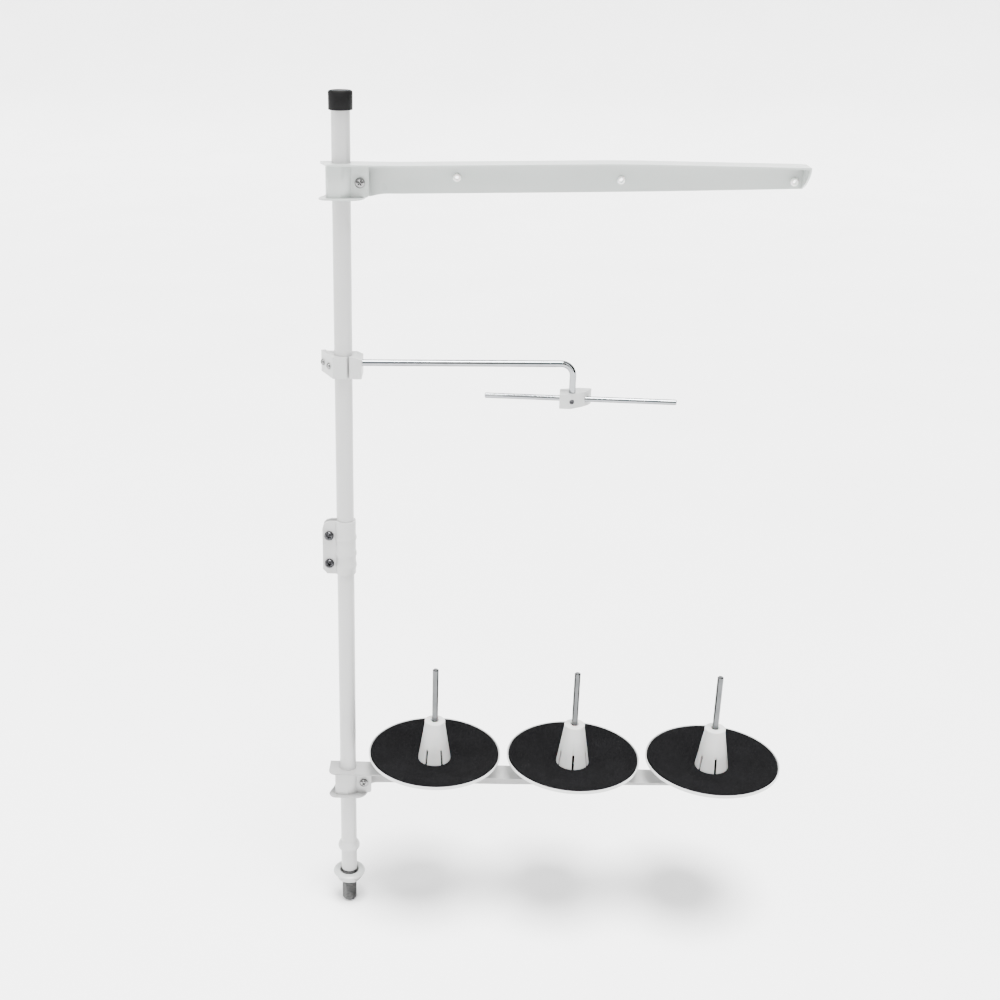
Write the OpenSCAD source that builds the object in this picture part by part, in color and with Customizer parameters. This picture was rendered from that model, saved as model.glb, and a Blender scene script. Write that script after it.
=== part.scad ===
// Table-clamped three-spool thread stand.
// Origin: pole axis at the underside of the rolled bead, where the bead rests on the table top.
// +Z up the pole, +X out along the two arms. Millimetres.

/* [Pole] */
// Outer radius of both pole tubes
pole_r = 8; // [6:0.5:12]
// Inner radius of both pole tubes
pole_bore_r = 6.5; // [4:0.1:10]
// Height where the lower tube ends inside the coupler
pole_split_z = 339; // [200:1:450]
// Height of the top end of the upper tube
pole_top_z = 741; // [500:1:900]
// Lower end of the plain tube, below the table top
tube_end_z = -25; // [-40:1:-10]
// Lower end of the threaded stud
stud_end_z = -62.5; // [-90:0.5:-45]
// Radius of the threaded stud
stud_r = 7.3; // [6:0.1:10]

/* [Arms] */
// Height of the underside of the spool arm bracket
spool_arm_z = 68.5; // [40:0.5:150]
// Height of the underside of the thread guide bracket
guide_arm_z = 656.3; // [450:0.1:700]
// Height of the spool arm bracket
bracket_h = 28; // [20:0.5:40]
// Height of the thread guide bracket
guide_bracket_h = 29.2; // [20:0.1:40]
// Sheet thickness of both arms
sheet_t = 1.5; // [1:0.1:3]
// Y of the back face of both arms
arm_back_y = 12; // [8:0.5:20]
// X where the spool arm ends
spool_arm_end_x = 386; // [300:1:450]
// X where the guide arm ends
guide_arm_end_x = 386; // [300:1:450]

/* [Spools] */
// X of the first spool pin
spool_first_x = 86; // [60:1:120]
// Distance between spool pins
spool_pitch = 137; // [120:1:180]
// Y of the spool pins
spool_y = 1.5; // [-5:0.5:8]
// Radius of a spool pin
pin_r = 3; // [2:0.1:5]
// Height of a spool pin tip
pin_tip_z = 208.5; // [170:0.5:260]
// Outer radius of a foam pad
pad_r = 64; // [40:0.5:66]
// Height of a foam pad's upper edge
pad_rim_z = 117; // [105:0.5:130]
// Thickness of a foam pad
pad_t = 4; // [2:0.5:8]
// Base radius of a spool cone
cone_base_r = 16; // [10:0.5:25]
// Top radius of a spool cone
cone_top_r = 10; // [6:0.5:20]
// Height of a spool cone
cone_h = 43; // [25:0.5:60]

/* [Support rod] */
// Height of the horizontal rod's axis
rod_z = 513.5; // [400:0.5:600]
// Radius of the support rod
rod_r = 3; // [2:0.1:5]
// Distance from the pole axis to the drop of the rod
rod_reach = 203.5; // [120:0.5:260]
// Turn of the rod and its clamp about the pole, degrees
rod_az = 2.8; // [-30:0.1:30]
// Radius of the rod's bend, at its axis
rod_bend_r = 11; // [6:0.5:20]
// Height of the cross rod's axis
cross_z = 479.8; // [400:0.1:560]
// Radius of the cross rod
cross_r = 2.5; // [1.5:0.1:4]
// Length of the cross rod on the pole side of the drop
cross_in = 78; // [30:1:120]
// Length of the cross rod beyond the drop
cross_out = 93; // [30:1:140]
// Turn of the cross rod about the drop, degrees
cross_az = -3.6; // [-60:0.1:60]

/* [Table clamp] */
// Height of the washer's upper face
washer_top_z = -27; // [-60:0.5:-20]
// Outer radius of the washer
washer_r = 16.2; // [12:0.1:25]
// Thickness of the washer
washer_t = 4.5; // [3:0.5:8]
// Thickness of the clamping nut
nut_t = 4.5; // [3:0.5:12]
// Distance across the flats of the clamping nut
nut_af = 24; // [20:0.5:32]

/* [Hidden] */
run = 0.03;
spool_arm_top = spool_arm_z + bracket_h;
guide_arm_top = guide_arm_z + guide_bracket_h;
dish = 8;
hub_top = pad_rim_z - dish - pad_t;
plate_t = 1.2;
hub_bottom = hub_top - plate_t;
cone_base_z = pad_rim_z - dish;
cone_top_z = cone_base_z + cone_h;
clip_t = 2;
ear_screw_x = 16.1;
ear_k = 0.468;
flange_y = -14;
drop_bottom_z = cross_z - 6.6;
cross_back = rod_r + cross_r + 0.2;
steel_paint = [0.86, 0.87, 0.86];
zinc = [0.72, 0.72, 0.70];
chrome = [0.80, 0.82, 0.84];

// ---- shared shapes ----

// prism of an XZ outline, from y0 to y1
module xz(y0, y1) { translate([0, y1, 0]) rotate([90, 0, 0]) linear_extrude(y1 - y0) children(); }

// cylinder along +Y from y0 to y1
module ycyl(x, z, r, y0, y1) { translate([x, y0, z]) rotate([-90, 0, 0]) cylinder(r = r, h = y1 - y0); }

// hexagon nut with a bore, on the XY plane
module hexnut(af, h, bore) {
  difference() {
    intersection() {
      cylinder(r = af / sqrt(3), h = h, $fn = 6);
      rotate_extrude() polygon([[0, 0], [af / 2, 0], [af / sqrt(3) + 0.01, (af / sqrt(3) - af / 2) * 0.6],
        [af / sqrt(3) + 0.01, h - (af / sqrt(3) - af / 2) * 0.6], [af / 2, h], [0, h]]);
    }
    translate([0, 0, -1]) cylinder(r = bore, h = h + 2);
  }
}

// pan head screw, head underside at the origin, shank along +Z
module panscrew(shank_r, len, head_r, head_h) {
  rotate_extrude() polygon([[0, -head_h], [head_r * 0.55, -head_h], [head_r * 0.86, -head_h * 0.78],
    [head_r, -head_h * 0.4], [head_r, 0], [shank_r, 0], [shank_r, len - 0.6], [shank_r - 0.5, len], [0, len]]);
}

// bracket and arm pressed from one sheet: back web, upper flange, short lower flange
module arm(z0, h, top, low, left) {
  t = sheet_t; yb = arm_back_y; n = len(top);
  difference() {
    union() {
      // back web
      translate([0, 0, z0]) xz(yb - t, yb)
        polygon(concat([[-13, h], [-13, 0]], low, [for (i = [n - 1:-1:0]) top[i]]));
      // upper flange along the arm
      translate([0, 0, z0]) xz(flange_y, yb - t + 0.5)
        polygon(concat(top, [for (i = [n - 1:-1:0]) top[i] - [0, t]]));
      // upper flange at the bracket
      translate([0, 0, z0 + h - t]) linear_extrude(t)
        polygon(concat([[-18.5, yb - 1]], left, [[20, flange_y], [20, yb - 1]]));
      // lower flange
      translate([0, 0, z0]) linear_extrude(t)
        polygon([[-18.5, yb - 1], [-18.5, -8], [-12.5, flange_y], [9.5, flange_y], [14, flange_y + 1.8],
          [17.5, flange_y + 5.5], [19.6, -4], [20.3, 2], [20.3, yb - 1]]);
    }
    translate([0, 0, z0 - 1]) cylinder(r = pole_r + run, h = h + 2);
    ycyl(ear_screw_x, z0 + h * ear_k, 2.6, yb - t - 1, yb + 1);
  }
}

// spring clip that pulls the pole against the bracket
module clip(z0, bh) {
  zc = z0 + sheet_t + 0.05; h = bh - 2 * sheet_t - 0.1;
  r0 = pole_r + run; r1 = r0 + clip_t; yb = arm_back_y - sheet_t - 0.02; xl = -12.6; rc = 3;
  difference() {
    translate([0, 0, zc]) linear_extrude(h) difference() {
      union() {
        // round the pole's right
        difference() {
          circle(r = r1);
          translate([-20, -20]) square([20, 40]);
          polygon([[0, 0], [30, -14.6], [30, 20], [0, 20]]);
        }
        // flat front, rounded corner, leg to the web
        translate([xl + rc, -r1]) square([-xl - rc + 0.01, clip_t]);
        translate([xl + rc, -r1 + rc]) intersection() {
          difference() { circle(r = rc); circle(r = rc - clip_t); }
          translate([-rc, -rc]) square(rc + 0.005);
        }
        translate([xl, -r1 + rc]) square([clip_t, yb + r1 - rc]);
        // ear
        polygon([[r1 * 0.899 - 2.6, -5.05], [r1 * 0.899, -5.05 + 0.2], [23.4, -5.05], [23.4, -5.05 + clip_t], [7.2, -5.05 + clip_t]]);
      }
      circle(r = r0);
    }
    ycyl(ear_screw_x, z0 + bh * ear_k, 2.6, -8, 0);
    // rounded ear corners
    for (m = [0, 1]) translate([0, 0, m ? zc + h : zc]) mirror([0, 0, m]) difference() {
      translate([20.9, -8, -0.5]) cube([3, 6, 3]);
      ycyl(20.9, 2.5, 2.5, -9, 0);
    }
  }
}

module arm_screw(z0, bh) { translate([ear_screw_x, -5.05, z0 + bh * ear_k]) rotate([-90, 0, 0]) panscrew(2.5, 22.5, 4.4, 3.2); }
module arm_nut(z0, bh) { translate([ear_screw_x, arm_back_y, z0 + bh * ear_k]) rotate([-90, 0, 0]) hexnut(8, 4, 2.5); }

module spool_at(i) { translate([spool_first_x + i * spool_pitch, spool_y, 0]) children(); }

// ---- pole ----

module lower_pole() {
  color(steel_paint) rotate_extrude() polygon([
    [pole_bore_r, tube_end_z], [pole_r - 0.6, tube_end_z], [pole_r, tube_end_z + 0.8], [pole_r, 0],
    [pole_r + 1.5, 0], [pole_r + 2.3, 0.6], [pole_r + 2.8, 1.6], [pole_r + 3.0, 2.9], [pole_r + 2.95, 4.2],
    [pole_r + 2.6, 5.6], [pole_r + 1.9, 7.0], [pole_r + 1.0, 8.3], [pole_r + 0.35, 9.1], [pole_r, 9.6],
    [pole_r, pole_split_z - 0.1], [pole_bore_r, pole_split_z - 0.1]]);
}

module threaded_stud() {
  color([0.45, 0.45, 0.44]) rotate_extrude() polygon([
    [0, stud_end_z], [stud_r - 1.6, stud_end_z], [stud_r, stud_end_z + 1.6], [stud_r, tube_end_z],
    [pole_bore_r, tube_end_z], [pole_bore_r, 8], [0, 8]]);
}

module upper_pole() {
  color(steel_paint) translate([0, 0, pole_split_z + 0.1]) difference() {
    cylinder(r = pole_r, h = pole_top_z - pole_split_z - 0.1);
    translate([0, 0, -1]) cylinder(r = pole_bore_r, h = pole_top_z);
  }
}

module pole_cap() {
  color([0.07, 0.07, 0.07]) rotate_extrude() polygon([
    [pole_r, pole_top_z - 13], [pole_r + 1.9, pole_top_z - 13], [pole_r + 2.2, pole_top_z - 12.6],
    [pole_r + 2.2, pole_top_z + 1], [pole_r + 1.6, pole_top_z + 2.1], [pole_r + 0.4, pole_top_z + 2.5],
    [0, pole_top_z + 2.5], [0, pole_top_z], [pole_r, pole_top_z]]);
}

cs_lo = 310.5; cs_hi = 363.5;
cs_screw_z = [321.3, 349.2];

module coupler_sleeve() {
  r1 = pole_r + 1.7;
  color(steel_paint) difference() {
    union() {
      translate([0, 0, cs_lo]) cylinder(r = r1, h = cs_hi - cs_lo);
      // two ears
      for (y = [-4.4, 2.7]) translate([0, 0, cs_lo]) xz(y, y + 1.7)
        polygon([[0, 0], [-17, 0], [-21, 4.5], [-21, 45], [-20, 49], [-17.5, 51.7], [-13, 53], [0, 53]]);
      // pressed ribs
      for (z = [318.5, 330.5, 346.5]) translate([0, 0, z]) rotate_extrude()
        polygon([[r1 - 1, -4], [r1, -3.2], [r1 + 0.35, -2.3], [r1 + 0.75, -0.9], [r1 + 0.75, 0.9], [r1 + 0.35, 2.3], [r1, 3.2], [r1 - 1, 4]]);
    }
    translate([0, 0, cs_lo - 1]) cylinder(r = pole_r, h = cs_hi - cs_lo + 2);
    translate([-30, -2.7, cs_lo - 1]) cube([30, 5.4, 70]);
    for (z = cs_screw_z) ycyl(-14.8, z, 2.6, -8, 8);
  }
}

module coupler_screws() {
  color([0.35, 0.35, 0.36]) for (z = cs_screw_z) translate([-14.8, -4.4, z]) rotate([-90, 0, 0])
    difference() {
      panscrew(2.5, 14, 4.5, 4.2);
      translate([0, 0, -5]) cylinder(r = 2.2, h = 3, $fn = 6);
    }
}

module coupler_nuts() {
  color(zinc) for (z = cs_screw_z) translate([-14.8, 4.4, z]) rotate([-90, 0, 0]) hexnut(8, 4, 2.5);
}

// ---- thread guide arm ----

eyelet_x = [96.8, 234.5, 378.5];
function eyelet_z(i) = guide_arm_z + (i == 2 ? 17.2 : 16.8);

module guide_arm() {
  h = guide_bracket_h; t = sheet_t; e = guide_arm_end_x;
  color([0.83, 0.86, 0.84]) difference() {
    union() {
      arm(guide_arm_z, h,
        [[19.5, h], [49, h], [120, h + 1.8], [224, h + 3.8], [300, h + 3.6], [e - 10, h + 2.9], [e, h + 2.7]],
        [[20.3, 0], [25, 0.5], [30, 1.7], [36, 2.5], [49, 2.7], [251, 7.4], [e - 10, 11.3], [e, 11.6]],
        [[-18.5, 8], [-11, flange_y]]);
      // turned-in end
      translate([e - t, 0, guide_arm_z]) rotate([90, 0, 90]) linear_extrude(t)
        polygon([[arm_back_y - 0.5, h + 1.9], [flange_y, h + 1.9], [flange_y, 28.6], [-10.3, 23.6], [-5.6, 19.7],
          [-1, 16.7], [4.8, 13.9], [arm_back_y - 0.5, 11.8]]);
    }
    for (i = [0:2]) ycyl(eyelet_x[i], eyelet_z(i), 2.6, 0, 20);
  }
}

module guide_arm_clip() { color(steel_paint) clip(guide_arm_z, guide_bracket_h); }
module guide_arm_screw() { color(zinc) arm_screw(guide_arm_z, guide_bracket_h); }
module guide_arm_nut() { color(zinc) arm_nut(guide_arm_z, guide_bracket_h); }

module eyelet(i) {
  yw = arm_back_y - sheet_t;
  color([0.95, 0.95, 0.93]) translate([eyelet_x[i], 0, eyelet_z(i)]) rotate([90, 0, 0]) rotate_extrude()
    polygon([[1.5, -arm_back_y - 1.4], [3.4, -arm_back_y - 1.4], [3.4, -arm_back_y - 0.01], [2.6, -arm_back_y - 0.01],
      [2.6, -yw + 0.01], [3.5, -yw + 0.01], [3.5, -yw + 1.0], [3.0, -yw + 2.2], [2.2, -yw + 2.6], [1.7, -yw + 2.3], [1.5, -yw + 1.6]]);
}
module thread_eyelet_1() { eyelet(0); }
module thread_eyelet_2() { eyelet(1); }
module thread_eyelet_3() { eyelet(2); }

// ---- support rod clamp ----

clamp_lo = 501.5; clamp_hi = 520.8;
wing = [-0.447, 0.894];
wing_in = [0.894, 0.447];

module along_wing(s, z) { translate([-8.5 + wing[0] * s, -10.5 + wing[1] * s, z]) rotate([0, 0, 26.565]) rotate([0, 90, 0]) children(); }

module rod_clamp_jaw() {
  color([0.80, 0.81, 0.80]) difference() {
    translate([0, 0, clamp_lo]) linear_extrude(clamp_hi - clamp_lo)
      polygon([[-8.5, -10.5], [3.2, -10.5], [4.2, -9.5], [4.2, 0], [-9.3, 0], [-17.4, 16.3], [-21, 14.5]]);
    translate([0, 0, clamp_lo - 1]) cylinder(r = pole_r + run, h = 30);
    along_wing(8.5, 511) translate([0, 0, -1]) cylinder(r = 2.0, h = 12);
    along_wing(22.5, 511) translate([0, 0, -1]) cylinder(r = 2.0, h = 12);
  }
}

module rod_clamp_block() {
  color([0.84, 0.85, 0.84]) difference() {
    translate([0, 0, clamp_lo]) linear_extrude(clamp_hi - clamp_lo)
      polygon([[5.8, -9.7], [6.6, -10.5], [16.0, -10.5], [16.8, -9.7], [16.8, 12.5], [-15.48, 12.5], [-9.78, 1.1], [5.8, 1.1]]);
    translate([0, 0, clamp_lo - 1]) cylinder(r = pole_r + run, h = 30);
    // sloped upper edge over the rod
    translate([11.5, -20, clamp_hi]) rotate([0, 24, 0]) cube([12, 50, 8]);
    // rod socket
    rotate([0, 0, rod_az]) translate([8.6, 0, rod_z]) rotate([0, 90, 0]) cylinder(r = rod_r + run, h = 20);
    along_wing(22.5, 511) translate([0, 0, 3]) cylinder(r = 2.0, h = 13);
  }
}

module rod_clamp_screw() {
  color([0.35, 0.35, 0.36]) along_wing(22.5, 511) difference() {
    panscrew(1.99, 13, 3.6, 2.6);
    translate([0, 0, -3]) cylinder(r = 1.6, h = 2, $fn = 6);
  }
}

module rod_clamp_set_screw() {
  color([0.35, 0.35, 0.36]) along_wing(8.5, 511) difference() {
    panscrew(1.99, 2.6, 3.6, 2.6);
    translate([0, 0, -3]) cylinder(r = 1.6, h = 2, $fn = 6);
  }
}

module support_rod() {
  color(chrome) rotate([0, 0, rod_az]) {
    translate([9, 0, rod_z]) rotate([0, 90, 0]) cylinder(r = rod_r, h = rod_reach - rod_bend_r - 9);
    translate([rod_reach - rod_bend_r, 0, rod_z - rod_bend_r]) rotate([90, 0, 0])
      rotate_extrude(angle = 90) translate([rod_bend_r, 0]) circle(r = rod_r);
    translate([rod_reach, 0, drop_bottom_z]) cylinder(r = rod_r, h = rod_z - rod_bend_r - drop_bottom_z);
  }
}

module at_drop() { rotate([0, 0, rod_az]) translate([rod_reach, 0, 0]) rotate([0, 0, cross_az - rod_az]) children(); }

module cross_holder() {
  color([0.82, 0.83, 0.82]) at_drop() difference() {
    translate([0, 0, cross_z - 6]) linear_extrude(13.2)
      polygon([[-10.8, -6.3], [-10.2, -7], [-1.4, -7], [0, -6.4], [4.4, -3], [10.5, 2.2], [14.9, 7.6], [17.4, 13.2],
        [17.4, 14.6], [16.2, 15.8], [6, 15.8], [-9.6, 10.6], [-10.8, 9.4]]);
    translate([0, 0, cross_z - 8]) cylinder(r = rod_r + run, h = 20);
    translate([-30, cross_back, cross_z]) rotate([0, 90, 0]) cylinder(r = cross_r + run, h = 60);
    ycyl(0, cross_z + 0.4, 2.2, -10, 0);
  }
}

module cross_holder_screw() {
  color([0.35, 0.35, 0.36]) at_drop() difference() {
    ycyl(0, cross_z + 0.4, 2.19, -6.2, -rod_r - 0.1);
    translate([0, -5.2, cross_z + 0.4]) rotate([90, 0, 0]) cylinder(r = 1.4, h = 3, $fn = 6);
  }
}

module cross_rod() {
  c = 0.7;
  color(chrome) at_drop() translate([-cross_in, cross_back, cross_z]) rotate([0, 90, 0]) rotate_extrude()
    polygon([[0, 0], [cross_r - c, 0], [cross_r, c], [cross_r, cross_in + cross_out - c], [cross_r - c, cross_in + cross_out], [0, cross_in + cross_out]]);
}

// ---- spool arm ----

module spool_arm() {
  color(steel_paint) difference() {
    arm(spool_arm_z, bracket_h,
      [[19.5, bracket_h], [spool_arm_end_x, bracket_h]],
      [[20.3, 0], [21.5, 1.2], [24, 2.6], [27, 3.4], [43, 4], [161, 5.7], [301, 9.6], [spool_arm_end_x - 5, 11.4], [spool_arm_end_x, 14]],
      [[-18.5, -8], [-12.5, flange_y]]);
    for (i = [0:2]) spool_at(i) translate([0, 0, spool_arm_z + 10]) cylinder(r = pin_r, h = 30);
  }
}

module spool_arm_clip() { color(steel_paint) clip(spool_arm_z, bracket_h); }
module spool_arm_screw() { color(zinc) arm_screw(spool_arm_z, bracket_h); }
module spool_arm_nut() { color(zinc) arm_nut(spool_arm_z, bracket_h); }

module plate() {
  color(steel_paint) rotate_extrude() polygon([
    [pin_r, hub_bottom], [14.2, hub_bottom], [pad_r + 0.9, pad_rim_z - 3.5], [pad_r + 1.2, pad_rim_z - 3.1],
    [pad_r + 1.2, pad_rim_z - 0.9], [pad_r + 1.0, pad_rim_z - 0.5], [pad_r + 0.5, pad_rim_z - 0.5], [pad_r + 0.2, pad_rim_z - 0.9],
    [pad_r + 0.2, pad_rim_z - 2.24], [14, hub_top - 0.02], [pin_r, hub_top - 0.02]]);
}

module pad() {
  color([0.10, 0.10, 0.10]) rotate_extrude() polygon([
    [pin_r + 0.5, hub_top + 0.02], [14, hub_top + 0.02], [pad_r, pad_rim_z - 2.2], [pad_r, pad_rim_z - 0.6], [pad_r - 0.6, pad_rim_z],
    [cone_base_r + 0.6, cone_base_z - 0.01], [pin_r + 0.5, cone_base_z - 0.01]]);
}

module cone(turn) {
  color([0.93, 0.92, 0.88]) rotate([0, 0, turn]) difference() {
    rotate_extrude() polygon([
      [cone_base_r - 1.6, cone_base_z], [cone_base_r, cone_base_z], [cone_base_r, cone_base_z + 1],
      [cone_top_r, cone_top_z - 4], [cone_top_r, cone_top_z - 0.6], [cone_top_r - 0.6, cone_top_z],
      [4.2, cone_top_z], [3.6, cone_top_z - 1.6], [pin_r + 0.05, cone_top_z - 1.6], [pin_r + 0.05, cone_top_z - 8],
      [cone_top_r - 2.4, cone_top_z - 8], [cone_base_r - 2.2, cone_base_z + 2]]);
    for (a = [0:60:300]) rotate([0, 0, a]) translate([-1.15, -cone_base_r - 2, cone_base_z - 1]) {
      cube([2.3, 12, 15.2]);
      translate([1.15, 0, 15.2]) rotate([-90, 0, 0]) cylinder(r = 1.15, h = 12);
    }
  }
}

module pin() {
  color([0.62, 0.62, 0.60]) rotate_extrude() polygon([
    [0, spool_arm_top - sheet_t - 7], [pin_r - 0.6, spool_arm_top - sheet_t - 7], [pin_r, spool_arm_top - sheet_t - 6.4],
    [pin_r, pin_tip_z - 0.9], [pin_r - 0.9, pin_tip_z], [0, pin_tip_z]]);
}

module pin_nuts() {
  color(zinc) {
    translate([0, 0, spool_arm_top]) hexnut(10, hub_bottom - spool_arm_top, pin_r);
    translate([0, 0, spool_arm_top - sheet_t - 4]) hexnut(10, 4, pin_r);
  }
}

module spool_plate_1() { spool_at(0) plate(); }
module spool_plate_2() { spool_at(1) plate(); }
module spool_plate_3() { spool_at(2) plate(); }
module foam_pad_1() { spool_at(0) pad(); }
module foam_pad_2() { spool_at(1) pad(); }
module foam_pad_3() { spool_at(2) pad(); }
module spool_cone_1() { spool_at(0) cone(30); }
module spool_cone_2() { spool_at(1) cone(-3); }
module spool_cone_3() { spool_at(2) cone(4); }
module spool_pin_1() { spool_at(0) pin(); }
module spool_pin_2() { spool_at(1) pin(); }
module spool_pin_3() { spool_at(2) pin(); }
module spool_pin_nuts_1() { spool_at(0) pin_nuts(); }
module spool_pin_nuts_2() { spool_at(1) pin_nuts(); }
module spool_pin_nuts_3() { spool_at(2) pin_nuts(); }

// ---- table clamp ----

module clamp_washer() {
  z1 = washer_top_z; z0 = z1 - washer_t;
  color([0.80, 0.80, 0.79]) rotate_extrude() polygon([
    [9.4, z1 - 0.5], [9.9, z1], [washer_r - 1.4, z1], [washer_r - 0.3, z1 - 0.7], [washer_r, z1 - 1.7],
    [washer_r - 0.4, z1 - 2.8], [washer_r - 1.4, z1 - 3.8], [washer_r - 2.8, z0], [9.4, z0]]);
}

module clamp_nut() {
  color([0.62, 0.62, 0.60]) translate([0, 0, washer_top_z - washer_t - nut_t]) hexnut(nut_af, nut_t, stud_r + 0.05);
}

lower_pole();
threaded_stud();
upper_pole();
pole_cap();
coupler_sleeve();
coupler_screws();
coupler_nuts();
guide_arm();
guide_arm_clip();
guide_arm_screw();
guide_arm_nut();
thread_eyelet_1();
thread_eyelet_2();
thread_eyelet_3();
rod_clamp_jaw();
rod_clamp_block();
rod_clamp_screw();
rod_clamp_set_screw();
support_rod();
cross_holder();
cross_holder_screw();
cross_rod();
spool_arm();
spool_arm_clip();
spool_arm_screw();
spool_arm_nut();
spool_plate_1();
spool_plate_2();
spool_plate_3();
foam_pad_1();
foam_pad_2();
foam_pad_3();
spool_cone_1();
spool_cone_2();
spool_cone_3();
spool_pin_1();
spool_pin_2();
spool_pin_3();
spool_pin_nuts_1();
spool_pin_nuts_2();
spool_pin_nuts_3();
clamp_washer();
clamp_nut();
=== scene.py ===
import math

import bmesh
import bpy
from mathutils import Matrix, Vector, noise


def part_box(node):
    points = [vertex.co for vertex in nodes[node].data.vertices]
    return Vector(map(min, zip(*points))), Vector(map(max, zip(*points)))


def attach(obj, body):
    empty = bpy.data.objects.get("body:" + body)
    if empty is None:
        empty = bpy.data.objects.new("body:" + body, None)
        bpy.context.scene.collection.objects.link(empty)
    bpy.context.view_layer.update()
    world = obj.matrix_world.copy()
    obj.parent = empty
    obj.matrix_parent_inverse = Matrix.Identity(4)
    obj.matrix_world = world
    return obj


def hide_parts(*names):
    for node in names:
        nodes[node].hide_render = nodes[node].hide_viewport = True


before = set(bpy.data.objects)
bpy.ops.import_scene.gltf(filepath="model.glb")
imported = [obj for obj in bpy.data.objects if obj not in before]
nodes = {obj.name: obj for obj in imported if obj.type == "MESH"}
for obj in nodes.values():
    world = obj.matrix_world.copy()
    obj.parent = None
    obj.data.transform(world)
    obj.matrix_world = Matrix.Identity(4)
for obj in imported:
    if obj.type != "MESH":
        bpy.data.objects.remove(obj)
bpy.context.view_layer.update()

MM = 0.001

# ---------------------------------------------------------------- sizes, from the CAD frame
lo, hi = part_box("threaded_stud")
STUD_END = lo.z
STUD_R = hi.x
TUBE_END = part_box("lower_pole")[0].z
GUIDE_Z0, GUIDE_Z1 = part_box("guide_arm")[0].z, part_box("guide_arm")[1].z
SPOOL_Z0, SPOOL_Z1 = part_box("spool_arm")[0].z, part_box("spool_arm")[1].z
ARM_LEFT, GUIDE_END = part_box("guide_arm")[0].x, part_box("guide_arm")[1].x
SPOOL_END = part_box("spool_arm")[1].x
ARM_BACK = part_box("guide_arm")[1].y
ARM_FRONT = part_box("guide_arm")[0].y
SHEET = 1.5 * MM
POLE_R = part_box("upper_pole")[1].x
PIN_AT = []
for i in (1, 2, 3):
    a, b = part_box("spool_pin_%d" % i)
    PIN_AT.append(((a.x + b.x) / 2, (a.y + b.y) / 2, a.z, b.z))

# ---------------------------------------------------------------- node helpers


def new_mat(name):
    m = bpy.data.materials.new(name)
    m.use_nodes = True
    t = m.node_tree
    return m, t, t.nodes["Principled BSDF"]


def n_new(t, kind, **props):
    n = t.nodes.new(kind)
    for k, v in props.items():
        setattr(n, k, v)
    return n


def tex_noise(t, scale, detail=4.0, rough=0.55, vec=None, stretch=None):
    n = n_new(t, "ShaderNodeTexNoise")
    n.inputs["Scale"].default_value = scale
    n.inputs["Detail"].default_value = detail
    n.inputs["Roughness"].default_value = rough
    co = n_new(t, "ShaderNodeTexCoord")
    mp = n_new(t, "ShaderNodeMapping")
    if stretch:
        mp.inputs["Scale"].default_value = stretch
    t.links.new(co.outputs["Object"], mp.inputs["Vector"])
    t.links.new(mp.outputs["Vector"], n.inputs["Vector"])
    return n


def ramp(t, src, stops):
    r = n_new(t, "ShaderNodeValToRGB")
    els = r.color_ramp.elements
    els[0].position, els[0].color = stops[0]
    els[1].position, els[1].color = stops[-1]
    for p, c in stops[1:-1]:
        e = els.new(p)
        e.color = c
    t.links.new(src, r.inputs["Fac"])
    return r


def rgba(c, k=1.0):
    return (c[0] * k, c[1] * k, c[2] * k, 1.0)


def edge_mask(t, radius):
    """Bright on edges: the bevelled normal turns away from the true one there."""
    bv = n_new(t, "ShaderNodeBevel")
    bv.samples = 4
    bv.inputs["Radius"].default_value = radius
    ge = n_new(t, "ShaderNodeNewGeometry")
    dp = n_new(t, "ShaderNodeVectorMath", operation="DOT_PRODUCT")
    t.links.new(bv.outputs["Normal"], dp.inputs[0])
    t.links.new(ge.outputs["Normal"], dp.inputs[1])
    return ramp(t, dp.outputs["Value"], [(0.80, (1, 1, 1, 1)), (0.97, (0, 0, 0, 1))])


def bump(t, p, height, strength, dist, chain=None):
    b = n_new(t, "ShaderNodeBump")
    b.inputs["Strength"].default_value = strength
    b.inputs["Distance"].default_value = dist
    t.links.new(height, b.inputs["Height"])
    if chain is not None:
        t.links.new(chain.outputs["Normal"], b.inputs["Normal"])
    t.links.new(b.outputs["Normal"], p.inputs["Normal"])
    return b


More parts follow.
